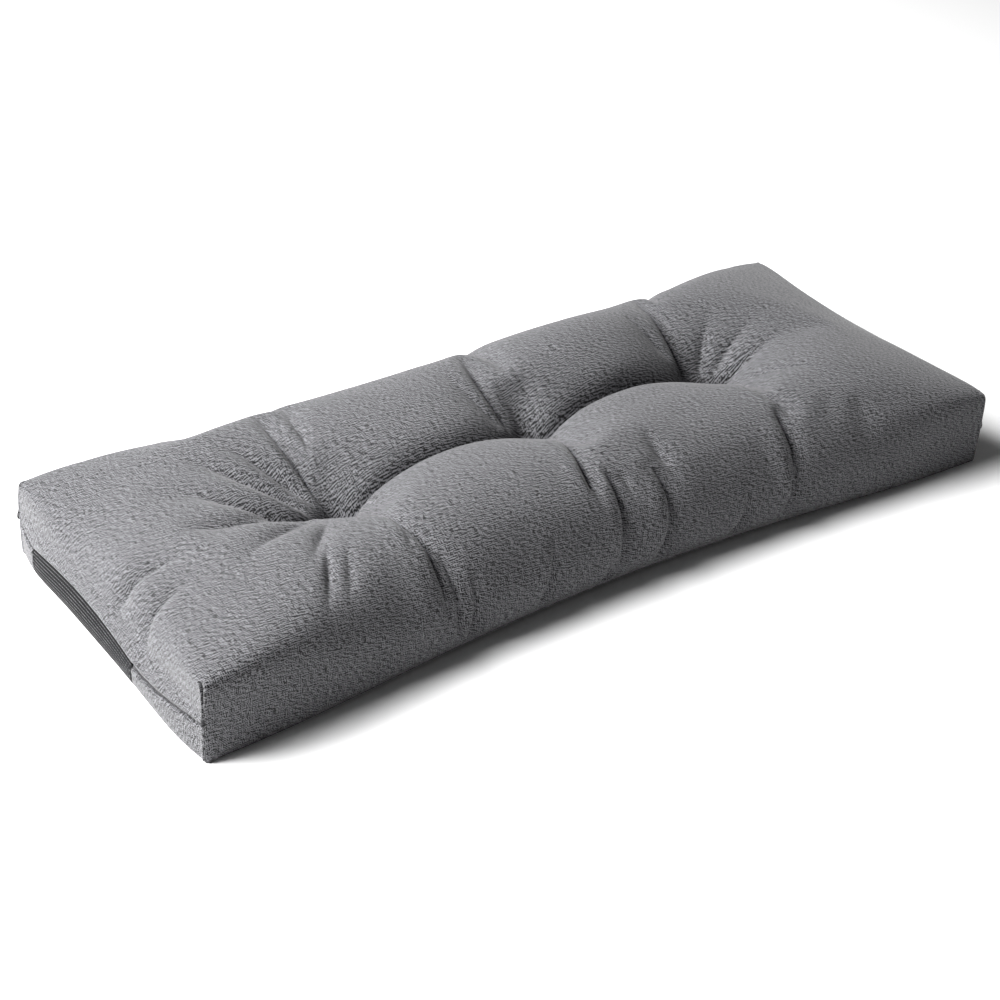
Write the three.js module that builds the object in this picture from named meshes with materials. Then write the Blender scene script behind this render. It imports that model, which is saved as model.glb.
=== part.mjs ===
// Bench cushion: a long box cushion, filled, drawn down by three blind tufts on its
// centre line, with a ribbed non-slip strip let into its underside and turned up at both ends.
// Millimetres, +Z up, X along the cushion, the long front at -Y, resting on z = 0.
import * as THREE from "three";

// ---- overall size -------------------------------------------------------------------------
const LENGTH = 914;
const DEPTH = 356;
const CORNER_HEIGHT = 82;
const WIDEST_HEIGHT = 40;

// ---- roundings and crown ------------------------------------------------------------------
const TOP_REACH_SIDE = 120;
const TOP_REACH_END = 28;
const BASE_REACH_MIDDLE = 28;
const BASE_REACH_CORNER = 10;
const BASE_REACH_END = 10;
const MIDDLE_POWER = 2.1;
const MIDDLE_FALL = 3;
const ROUND_POWER = 2.12;
const CORNER_POWER = 14;
const END_SHARPNESS = 6.4;
const SIDE_SHARPNESS = 4.6;
const CORNER_HOLD = 6;
const CROWN_RISE = 45;
const CROWN_POWER = 2.4;
const SIDE_DRAWN_IN = 12.5;
const END_DRAWN_IN = 1;
const END_SWELL = 12;
const END_SWELL_HEIGHT = 12;
const END_SWELL_REACH_Z = 40;
const END_SWELL_REACH_Y = 172;

// ---- tufts --------------------------------------------------------------------------------
const TUFT_X = [-228, 0, 228];
const TUFT_PIT = { depth: 30, reach: 20 };
const TUFT_DISH = { depth: 16, reach: 75 };
const VALLEY_CREASE = { depth: 12, reach: 16 };
const VALLEY_DISH = { depth: 9, reach: 60 };
const VALLEY_RUN_OUT = 110;
const CROSS_VALLEY = { depth: 21, reach: 120, width: 14, spread: 0.1, power: 1.3, end: 240 };
const FIELD_FADE = { from: 8, over: 40 };
const CREASE_FADE = { from: 3, over: 16 };

// How far each of the eight pads stands above or below the plain crown.
const PADS = [
  { x: -345, y: 90, rise: -9 },
  { x: -114, y: 90, rise: -6 },
  { x: 114, y: 90, rise: 10 },
  { x: 345, y: 90, rise: 7 },
  { x: -345, y: -90, rise: 0 },
  { x: -114, y: -90, rise: -3 },
  { x: 114, y: -90, rise: -9 },
  { x: 345, y: -90, rise: 10 },
];
const PAD_REACH_X = 100;
const PAD_REACH_Y = 80;

// ---- creases ------------------------------------------------------------------------------
// One row a crease, laid out on the cloth: u runs along the cushion and v round it, both
// from the middle of the top. From (u0, v0) by way of (u1, v1) to (u2, v2). A positive lip
// stands up on the left of that run, a negative one on the right.
const CREASES = [
  { u0: -250, v0: -32, u1: -318, v1: -12, u2: -388, v2: 4, depth: 13, width: 9, lip: 2, peak: 0.3 },
  { u0: -258, v0: -18, u1: -302, v1: 16, u2: -358, v2: 70, depth: 13, width: 9, lip: 0, peak: 0.35 },
  { u0: -246, v0: 4, u1: -281, v1: 44, u2: -328, v2: 108, depth: 12, width: 8, lip: 0, peak: 0.35 },
  { u0: -238, v0: 12, u1: -260, v1: 54, u2: -290, v2: 112, depth: 10, width: 8, lip: 0, peak: 0.35 },
  { u0: -230, v0: 16, u1: -239, v1: 64, u2: -230, v2: 165, depth: 8, width: 5, lip: 3, peak: 0.4 },
  { u0: -216, v0: 60, u1: -213, v1: 88, u2: -204, v2: 160, depth: 6, width: 5, lip: 2, peak: 0.5 },
  { u0: -250, v0: -34, u1: -292, v1: -82, u2: -326, v2: -130, depth: 8, width: 8, lip: -3, peak: 0.3 },
  { u0: -290, v0: -92, u1: -310, v1: -135, u2: -330, v2: -195, depth: 8, width: 5, lip: -3, peak: 0.4 },
  { u0: -226, v0: -60, u1: -214, v1: -150, u2: -216, v2: -236, depth: 13, width: 8, lip: -5, peak: 0.6 },
  { u0: -205, v0: -160, u1: -200, v1: -205, u2: -203, v2: -254, depth: 7, width: 6, lip: -3, peak: 0.6 },
  { u0: -180, v0: -190, u1: -182, v1: -218, u2: -190, v2: -256, depth: 7, width: 5, lip: -3, peak: 0.6 },
  { u0: 2, v0: -30, u1: -28, v1: -112, u2: -26, v2: -205, depth: 17, width: 5, lip: -6, peak: 0.5 },
  { u0: -6, v0: -130, u1: -8, v1: -186, u2: -14, v2: -236, depth: 14, width: 6, lip: -4, peak: 0.6 },
  { u0: 41, v0: -172, u1: 43, v1: -206, u2: 28, v2: -252, depth: 15, width: 6, lip: -6, peak: 0.5 },
  { u0: 64, v0: -96, u1: 59, v1: -150, u2: 66, v2: -206, depth: 6, width: 7, lip: 0, peak: 0.55 },
  { u0: 140, v0: -196, u1: 136, v1: -224, u2: 118, v2: -256, depth: 6, width: 5, lip: -3, peak: 0.6 },
  { u0: -86, v0: -195, u1: -97, v1: -217, u2: -112, v2: -254, depth: 7, width: 5, lip: -3, peak: 0.6 },
  { u0: -24, v0: -210, u1: -29, v1: -240, u2: -38, v2: -258, depth: 6, width: 5, lip: -3, peak: 0.6 },
  { u0: -17, v0: 12, u1: -22, v1: 62, u2: -2, v2: 150, depth: 9, width: 6, lip: 3, peak: 0.3 },
  { u0: 216, v0: 14, u1: 217, v1: 54, u2: 230, v2: 160, depth: 11, width: 6, lip: 3, peak: 0.35 },
  { u0: 238, v0: 16, u1: 253, v1: 37, u2: 292, v2: 76, depth: 7, width: 7, lip: 0, peak: 0.3 },
  { u0: 244, v0: 12, u1: 279, v1: 22, u2: 328, v2: 40, depth: 8, width: 7, lip: 0, peak: 0.3 },
  { u0: 216, v0: -40, u1: 212, v1: -100, u2: 226, v2: -175, depth: 7, width: 5, lip: -3, peak: 0.5 },
  { u0: 208, v0: -120, u1: 203, v1: -180, u2: 202, v2: -228, depth: 11, width: 7, lip: -4, peak: 0.55 },
  { u0: 190, v0: -194, u1: 193, v1: -216, u2: 188, v2: -248, depth: 8, width: 4, lip: -4, peak: 0.5 },
];
const CREASE_SEGMENTS = 10;
const CREASE_REACH = 6;
const CREASE_POWER = 1.4;
const CREASE_STEEP_SIDE = 0.75;
const CREASE_EASY_SIDE = 1.3;
const LIP_OFFSET = 1.9;
const LIP_WIDTH = 1.1;

// ---- non-slip strip -----------------------------------------------------------------------
const STRIP_FRONT_Y = -67;
const STRIP_BACK_Y = 135;
const STRIP_THICKNESS = 1.5;
const STRIP_TOP_LINE = 30;
const STRIP_ARCH_RISE = 15;
const STRIP_ARCH_MIDDLE_Y = 30;
const STRIP_ARCH_REACH = 110;
const ARCH_FADE_HEIGHT = 72;
const CLEARANCE = 0.4;

// ---- grid over the cloth ------------------------------------------------------------------
const FINE_STEP = 8.8;
const COARSE_STEP = 20;
const FINE_SPANS_X = [[-385, -185], [-48, 68], [182, 305]];
const DEPTH_STEP = 11.3;
const END_LINES = [447, 450, 454, 457];
const SIDE_LINES = [150, 158, 168, 178];
const HEIGHT_LINES = [0, 4, 9, 18, 30, 40, 54, 68, 82];
const STRIP_TOP_ROW = 4;

const FABRIC_GREY = "#6b6b6f";
const STRIP_CHARCOAL = "#2a2a2c";

// ---- small helpers ------------------------------------------------------------------------
function clamp(value, low, high) {
  return Math.min(Math.max(value, low), high);
}

function smooth(value) {
  const t = clamp(value, 0, 1);
  return t * t * (3 - 2 * t);
}

function powerSum(a, b, n) {
  return Math.pow(Math.pow(a, n) + Math.pow(b, n), 1 / n);
}

// ---- form of the filled cushion without tufts ---------------------------------------------
function middleWeight(t) {
  return Math.pow(Math.max(1 - Math.pow(t, MIDDLE_POWER), 0), MIDDLE_FALL);
}

function crownAt(x, y) {
  const t = Math.abs(x) / (LENGTH / 2);
  let rise = CROWN_RISE * Math.max(1 - Math.pow(t, CROWN_POWER), 0);
  for (const pad of PADS) {
    const alongX = (x - pad.x) / PAD_REACH_X;
    const alongY = (y - pad.y) / PAD_REACH_Y;
    rise += pad.rise * Math.exp(-alongX * alongX - alongY * alongY);
  }
  return rise;
}

function archLift(y, z) {
  const across = (y - STRIP_ARCH_MIDDLE_Y) / STRIP_ARCH_REACH;
  const arch = STRIP_ARCH_RISE * Math.max(1 - across * across, 0);
  if (z <= STRIP_TOP_LINE) {
    return arch * z / STRIP_TOP_LINE;
  }
  return arch * clamp((ARCH_FADE_HEIGHT - z) / (ARCH_FADE_HEIGHT - STRIP_TOP_LINE), 0, 1);
}

// Takes a point on the plain box to its place on the filled cushion.
function formPoint(x0, y0, z0) {
  const t = Math.abs(x0) / (LENGTH / 2);
  const b = Math.abs(y0) / (DEPTH / 2);
  const upper = z0 >= WIDEST_HEIGHT;
  const middle = middleWeight(t);
  const baseReach = BASE_REACH_CORNER + (BASE_REACH_MIDDLE - BASE_REACH_CORNER) * middle;
  const reachX = upper ? TOP_REACH_END : BASE_REACH_END;
  const reachY = upper ? TOP_REACH_SIDE : baseReach;
  const px = clamp((Math.abs(x0) - (LENGTH / 2 - reachX)) / reachX, 0, 1);
  const py = clamp((Math.abs(y0) - (DEPTH / 2 - reachY)) / reachY, 0, 1);
  const q = upper
    ? (z0 - WIDEST_HEIGHT) / (CORNER_HEIGHT - WIDEST_HEIGHT)
    : (WIDEST_HEIGHT - z0) / WIDEST_HEIGHT;
  const sidePower = ROUND_POWER + (CORNER_POWER - ROUND_POWER) * Math.pow(t, END_SHARPNESS);
  const endPower = ROUND_POWER + (CORNER_POWER - ROUND_POWER) * Math.pow(b, SIDE_SHARPNESS);
  const size = Math.max(powerSum(powerSum(py, q, sidePower), px, endPower), 1e-9);
  let y = Math.min(Math.abs(y0), DEPTH / 2 - reachY) + reachY * py / size;
  let x = Math.min(Math.abs(x0), LENGTH / 2 - reachX) + reachX * px / size;
  const hold = Math.pow(px * py, CORNER_HOLD) * Math.sqrt(1 - q);
  y += (DEPTH / 2 - y) * hold;
  x += (LENGTH / 2 - x) * hold;
  y *= Math.sign(y0) * (1 - SIDE_DRAWN_IN * middle / (DEPTH / 2));
  x *= Math.sign(x0) * (1 - END_DRAWN_IN * (1 - b * b) / (LENGTH / 2));
  const rise = upper ? CORNER_HEIGHT + crownAt(x0, y0) - WIDEST_HEIGHT : -WIDEST_HEIGHT;
  let z = WIDEST_HEIGHT + rise * q / size;
  if (Math.abs(x0) >= LENGTH / 2) {
    const up = (z0 - END_SWELL_HEIGHT) / END_SWELL_REACH_Z;
    const out = END_SWELL * clamp(1 - up * up, 0, 1)
      * clamp(1 - Math.pow(Math.abs(y0) / END_SWELL_REACH_Y, 4), 0, 1);
    x += x0 < 0 ? -out : 0;
    z += archLift(y0, z0);
  }
  return new THREE.Vector3(x, y, z);
}

// ---- tufts and creases on the cloth -------------------------------------------------------
function clothU(x0, z0) {
  const over = Math.abs(x0) >= LENGTH / 2 ? CORNER_HEIGHT - z0 : 0;
  return Math.sign(x0) * (Math.abs(x0) + over);
}

function clothV(y0, z0) {
  const over = Math.abs(y0) >= DEPTH / 2 ? CORNER_HEIGHT - z0 : 0;
  return Math.sign(y0) * (Math.abs(y0) + over);
}

function tuftDepth(u, v) {
  const along = Math.abs(v);
  const runOut = smooth(1 - Math.max(Math.abs(u) - TUFT_X[2], 0) / VALLEY_RUN_OUT);
  let depth = runOut * (VALLEY_CREASE.depth * Math.exp(-along / VALLEY_CREASE.reach)
    + VALLEY_DISH.depth * Math.exp(-Math.pow(along / VALLEY_DISH.reach, 2)));
  for (const x of TUFT_X) {
    const radius = Math.hypot(u - x, v);
    depth += TUFT_PIT.depth * Math.exp(-radius / TUFT_PIT.reach);
    depth += TUFT_DISH.depth * Math.exp(-Math.pow(radius / TUFT_DISH.reach, 2));
    const width = CROSS_VALLEY.width + CROSS_VALLEY.spread * along;
    depth += CROSS_VALLEY.depth * Math.exp(-along / CROSS_VALLEY.reach)
      * Math.exp(-Math.pow(Math.abs(u - x) / width, CROSS_VALLEY.power))
      * Math.max(1 - along / CROSS_VALLEY.end, 0);
  }
  return depth;
}

// The run of a crease as a smooth curve through its three named places.
function creaseRun(row) {
  const middle = new THREE.Vector2(row.u1 * 2 - (row.u0 + row.u2) / 2, row.v1 * 2 - (row.v0 + row.v2) / 2);
  const curve = new THREE.QuadraticBezierCurve(
    new THREE.Vector2(row.u0, row.v0), middle, new THREE.Vector2(row.u2, row.v2));
  return curve.getPoints(CREASE_SEGMENTS);
}

function creaseDepth(row, run, u, v) {
  let nearest = Infinity;
  let side = 0;
  let place = 0;
  for (let i = 0; i < run.length - 1; i += 1) {
    const dx = run[i + 1].x - run[i].x;
    const dy = run[i + 1].y - run[i].y;
    const t = clamp(((u - run[i].x) * dx + (v - run[i].y) * dy) / (dx * dx + dy * dy), 0, 1);
    const distance = Math.hypot(u - run[i].x - t * dx, v - run[i].y - t * dy);
    if (distance < nearest) {
      nearest = distance;
      side = Math.sign(dx * (v - run[i].y) - dy * (u - run[i].x));
      place = (i + t) / (run.length - 1);
    }
  }
  if (nearest > CREASE_REACH * row.width) {
    return 0;
  }
  const strength = place < row.peak ? smooth(place / row.peak) : smooth((1 - place) / (1 - row.peak));
  const width = row.width * (0.75 + 0.5 * place);
  const across = nearest * side * (row.lip >= 0 ? 1 : -1);
  const flank = width * (across > 0 ? CREASE_STEEP_SIDE : CREASE_EASY_SIDE);
  const valley = row.depth * Math.exp(-Math.pow(nearest / flank, CREASE_POWER));
  const lipPlace = (across - LIP_OFFSET * width) / (LIP_WIDTH * width);
  return strength * (valley - Math.abs(row.lip) * Math.exp(-lipPlace * lipPlace));
}

const CREASE_RUNS = CREASES.map(creaseRun);

function pulledIn(x0, y0, z0) {
  const u = clothU(x0, z0);
  const v = clothV(y0, z0);
  let creases = 0;
  CREASES.forEach((row, i) => {
    creases += creaseDepth(row, CREASE_RUNS[i], u, v);
  });
  return tuftDepth(u, v) * clamp((z0 - FIELD_FADE.from) / FIELD_FADE.over, 0, 1)
    + creases * clamp((z0 - CREASE_FADE.from) / CREASE_FADE.over, 0, 1);
}

// ---- lines of the grid --------------------------------------------------------------------
function evenLines(from, to, step) {
  const count = Math.max(1, Math.round((to - from) / step));
  const lines = [];
  for (let i = 1; i <= count; i += 1) {
    lines.push(from + (to - from) * i / count);
  }
  return lines;
}

function mirrored(lines) {
  return lines.map((value) => -value).reverse();
}

function lengthLines() {
  const lines = mirrored(END_LINES);
  let at = -END_LINES[0];
  for (const [from, to] of FINE_SPANS_X) {
    lines.push(...evenLines(at, from, COARSE_STEP), ...evenLines(from, to, FINE_STEP));
    at = to;
  }
  lines.push(...evenLines(at, END_LINES[0], COARSE_STEP), ...END_LINES.slice(1));
  return lines;
}

function depthLines(front, back) {
  const lines = mirrored(SIDE_LINES);
  lines.push(...evenLines(-SIDE_LINES[0], front, COARSE_STEP));
  lines.push(...evenLines(front, 0, DEPTH_STEP), ...evenLines(0, back, DEPTH_STEP));
  lines.push(...SIDE_LINES);
  return lines;
}

// ---- closed bodies ------------------------------------------------------------------------
class Body {
  constructor() {
    this.points = [];
    this.normals = [];
    this.faces = [];
    this.lookup = new Map();
  }

  place(x0, y0, z0) {
    const key = `${x0.toFixed(3)},${y0.toFixed(3)},${z0.toFixed(3)}`;
    if (!this.lookup.has(key)) {
      this.lookup.set(key, this.points.length);
      this.points.push({ x0, y0, z0, at: formPoint(x0, y0, z0) });
    }
    return this.lookup.get(key);
  }

  // Mean outward direction at every point, from the faces round it.
  measureNormals(quads) {
    this.normals = this.points.map(() => new THREE.Vector3());
    for (const quad of quads) {
      const [a, b, c, d] = quad.map((index) => this.points[index].at);
      const face = c.clone().sub(a).cross(d.clone().sub(b));
      quad.forEach((index) => this.normals[index].add(face));
    }
    this.normals.forEach((normal) => normal.normalize());
  }

  copySunk(index, distance) {
    const source = this.points[index];
    const at = source.at.clone().addScaledVector(this.normals[index], -distance);
    this.points.push({ ...source, at });
    return this.points.length - 1;
  }

  addQuad([a, b, c, d]) {
    this.faces.push([a, b, c], [a, c, d]);
  }

  geometry() {
    const geometry = new THREE.BufferGeometry();
    const used = new Map();
    const positions = [];
    const indices = this.faces.flat().map((index) => {
      if (!used.has(index)) {
        used.set(index, used.size);
        positions.push(...this.points[index].at.toArray());
      }
      return used.get(index);
    });
    geometry.setAttribute("position", new THREE.Float32BufferAttribute(positions, 3));
    geometry.setIndex(indices);
    geometry.computeVertexNormals();
    return geometry;
  }
}

// Edges of a patch of quads that no second quad of the patch shares.
function rimEdges(quads) {
  const edges = new Map();
  for (const quad of quads) {
    quad.forEach((from, i) => {
      const to = quad[(i + 1) % 4];
      if (!edges.delete(`${to}_${from}`)) {
        edges.set(`${from}_${to}`, [from, to]);
      }
    });
  }
  return [...edges.values()];
}

function buildCover() {
  const body = new Body();
  const xs = lengthLines();
  const ys = depthLines(STRIP_FRONT_Y - CLEARANCE, STRIP_BACK_Y + CLEARANCE);
  const zs = HEIGHT_LINES;
  const [nx, ny, nz] = [xs.length - 1, ys.length - 1, zs.length - 1];
  const ringX = END_LINES.length - 1;
  const ringY = SIDE_LINES.length - 1;
  const stripFrom = ys.findIndex((y) => y > STRIP_FRONT_Y - 2 * CLEARANCE);
  const stripTo = ys.findIndex((y) => y > STRIP_BACK_Y);
  const id = (i, j, k) => body.place(xs[i], ys[j], zs[k]);
  const plain = [];
  const sunk = [];
  const flat = [];
  for (let i = 0; i < nx; i += 1) {
    for (let j = 0; j < ny; j += 1) {
      plain.push([id(i, j, nz), id(i + 1, j, nz), id(i + 1, j + 1, nz), id(i, j + 1, nz)]);
      const under = [id(i, j, 0), id(i, j + 1, 0), id(i + 1, j + 1, 0), id(i + 1, j, 0)];
      const inRing = i < ringX || i >= nx - ringX || j < ringY || j >= ny - ringY;
      const inStrip = j >= stripFrom && j < stripTo;
      const home = inRing ? (inStrip ? sunk : plain) : flat;
      home.push(under);
    }
    for (let k = 0; k < nz; k += 1) {
      plain.push([id(i, 0, k), id(i + 1, 0, k), id(i + 1, 0, k + 1), id(i, 0, k + 1)]);
      plain.push([id(i, ny, k), id(i, ny, k + 1), id(i + 1, ny, k + 1), id(i + 1, ny, k)]);
    }
  }
  for (let j = 0; j < ny; j += 1) {
    for (let k = 0; k < nz; k += 1) {
      const home = k < STRIP_TOP_ROW && j >= stripFrom && j < stripTo ? sunk : plain;
      home.push([id(0, j, k), id(0, j, k + 1), id(0, j + 1, k + 1), id(0, j + 1, k)]);
      home.push([id(nx, j, k), id(nx, j + 1, k), id(nx, j + 1, k + 1), id(nx, j, k + 1)]);
    }
  }
  body.measureNormals([...plain, ...sunk, ...flat]);
  body.points.forEach((point, index) => {
    point.at.addScaledVector(body.normals[index], -pulledIn(point.x0, point.y0, point.z0));
  });

  // The flat middle of the underside: the strip's seat in long quads, a plain field each side.
  for (let j = stripFrom; j < stripTo; j += 1) {
    sunk.push([id(ringX, j, 0), id(ringX, j + 1, 0), id(nx - ringX, j + 1, 0), id(nx - ringX, j, 0)]);
  }
  const longEdge = (j) => xs.slice(ringX, nx - ringX + 1).map((_, i) => id(i + ringX, j, 0));
  const shortEdge = (i, from, to) => ys.slice(from, to + 1).map((_, j) => id(i, j + from, 0));
  const frontField = [
    ...longEdge(ringY),
    ...shortEdge(nx - ringX, ringY + 1, stripFrom),
    ...shortEdge(ringX, ringY + 1, stripFrom).reverse(),
  ];
  const backField = [
    id(ringX, stripTo, 0),
    ...shortEdge(nx - ringX, stripTo, ny - ringY - 1),
    ...longEdge(ny - ringY).reverse(),
    ...shortEdge(ringX, stripTo + 1, ny - ringY - 1).reverse(),
  ];
  for (const outline of [frontField, backField]) {
    const contour = outline.map((index) => {
      const { x, y } = body.points[index].at;
      return new THREE.Vector2(x, y);
    });
    for (const [a, b, c] of THREE.ShapeUtils.triangulateShape(contour, [])) {
      body.faces.push([outline[a], outline[c], outline[b]]);
    }
  }

  const seat = new Map();
  const sink = (index) => {
    if (!seat.has(index)) {
      seat.set(index, body.copySunk(index, STRIP_THICKNESS + CLEARANCE));
    }
    return seat.get(index);
  };
  plain.forEach((quad) => body.addQuad(quad));
  sunk.forEach((quad) => body.addQuad(quad.map(sink)));
  rimEdges(sunk).forEach(([a, b]) => body.addQuad([a, b, sink(b), sink(a)]));
  return body.geometry();
}

function buildStrip() {
  const body = new Body();
  const ys = depthLines(STRIP_FRONT_Y - CLEARANCE, STRIP_BACK_Y + CLEARANCE)
    .filter((y) => y > STRIP_FRONT_Y && y < STRIP_BACK_Y);
  const across = [STRIP_FRONT_Y, ...ys, STRIP_BACK_Y];
  const heights = HEIGHT_LINES.slice(1, STRIP_TOP_ROW);
  const half = LENGTH / 2;
  const topLine = STRIP_TOP_LINE - CLEARANCE;
  const leftEnd = [topLine, ...heights.slice().reverse(), 0].map((z) => [-half, z]);
  const rightEnd = [0, ...heights, topLine].map((z) => [half, z]);
  const under = END_LINES.slice(0, -1).map((x) => [x, 0]);
  const run = [...leftEnd, ...under.map(([x, z]) => [-x, z]).reverse(), ...under, ...rightEnd];
  const outer = [];
  for (let i = 0; i < run.length - 1; i += 1) {
    for (let j = 0; j < across.length - 1; j += 1) {
      outer.push([
        body.place(run[i][0], across[j], run[i][1]),
        body.place(run[i][0], across[j + 1], run[i][1]),
        body.place(run[i + 1][0], across[j + 1], run[i + 1][1]),
        body.place(run[i + 1][0], across[j], run[i + 1][1]),
      ]);
    }
  }
  body.measureNormals(outer);
  const backing = new Map();
  const behind = (index) => {
    if (!backing.has(index)) {
      backing.set(index, body.copySunk(index, STRIP_THICKNESS));
    }
    return backing.get(index);
  };
  outer.forEach((quad) => body.addQuad(quad));
  outer.forEach((quad) => body.addQuad(quad.slice().reverse().map(behind)));
  rimEdges(outer).forEach(([a, b]) => body.addQuad([b, a, behind(a), behind(b)]));
  return body.geometry();
}

function piece(name, geometry, color, roughness) {
  const material = new THREE.MeshStandardMaterial({ color, roughness, metalness: 0 });
  const mesh = new THREE.Mesh(geometry, material);
  mesh.name = name;
  return mesh;
}

const coverForm = buildCover();
const stripForm = buildStrip();

// One end swells more than the other: the origin goes to the middle of the whole length.
coverForm.computeBoundingBox();
const middleX = coverForm.boundingBox.getCenter(new THREE.Vector3()).x;
coverForm.translate(-middleX, 0, 0);
stripForm.translate(-middleX, 0, 0);

const group = new THREE.Group();
group.name = "bench_cushion";
group.add(piece("cover", coverForm, FABRIC_GREY, 0.95));
group.add(piece("grip_base", stripForm, STRIP_CHARCOAL, 0.8));

export default group;
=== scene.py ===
"""Tufted bench cushion, dressed: heathered cloth over its filling and a ribbed non-slip strip."""
import logging
import math
from dataclasses import dataclass, field
from enum import Enum
from typing import Iterable, Sequence

import bpy
import numpy as np
from mathutils import Matrix, Vector


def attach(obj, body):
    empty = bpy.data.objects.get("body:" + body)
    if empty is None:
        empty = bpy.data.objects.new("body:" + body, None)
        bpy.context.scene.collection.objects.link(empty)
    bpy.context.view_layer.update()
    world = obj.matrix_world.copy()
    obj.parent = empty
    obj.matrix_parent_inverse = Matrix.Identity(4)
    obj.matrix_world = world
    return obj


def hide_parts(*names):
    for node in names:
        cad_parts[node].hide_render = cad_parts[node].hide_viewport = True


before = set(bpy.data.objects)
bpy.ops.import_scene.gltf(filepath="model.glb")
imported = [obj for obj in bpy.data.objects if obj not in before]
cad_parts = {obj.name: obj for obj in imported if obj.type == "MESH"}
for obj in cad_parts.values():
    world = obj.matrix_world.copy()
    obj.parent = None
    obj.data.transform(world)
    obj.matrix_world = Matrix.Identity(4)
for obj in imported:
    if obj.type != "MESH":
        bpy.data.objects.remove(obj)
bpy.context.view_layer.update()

LOG = logging.getLogger("bench_cushion")
MM = 0.001
ORIGIN_SHIFT = 4.83  # the form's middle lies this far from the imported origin, in mm
TOUCH = 1e-6  # places closer than this count as one, mm
TINY = 1e-9  # keeps a divisor from being nought
UNSEEN = 1e9  # farther than anything here, mm
DASH = {"Length": 0.0021, "Width": 0.0006, "Height": 0.0005, "Seed": 7}  # m
Array = np.ndarray
Pair = tuple[float, float]
Colour = tuple[float, float, float, float]


class Slot(Enum):
    """Material slots of the record."""

    COVER = "cover_cloth"
    GRIP = "grip_cloth"


def smooth(value: Array) -> Array:
    """Ease from 0 to 1 over the unit range."""
    t = np.clip(value, 0.0, 1.0)
    return t * t * (3.0 - 2.0 * t)


def power_sum(a: Array, b: Array, n: Array) -> Array:
    """Rounded corner between two faces: the n-norm of two distances."""
    return (a**n + b**n) ** (1.0 / n)


# ---- the filled form --------------------------------------------------------------------


@dataclass(frozen=True)
class Swell:
    """One pad of the top, standing above or below the plain crown."""

    x: float
    y: float
    rise: float


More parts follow.
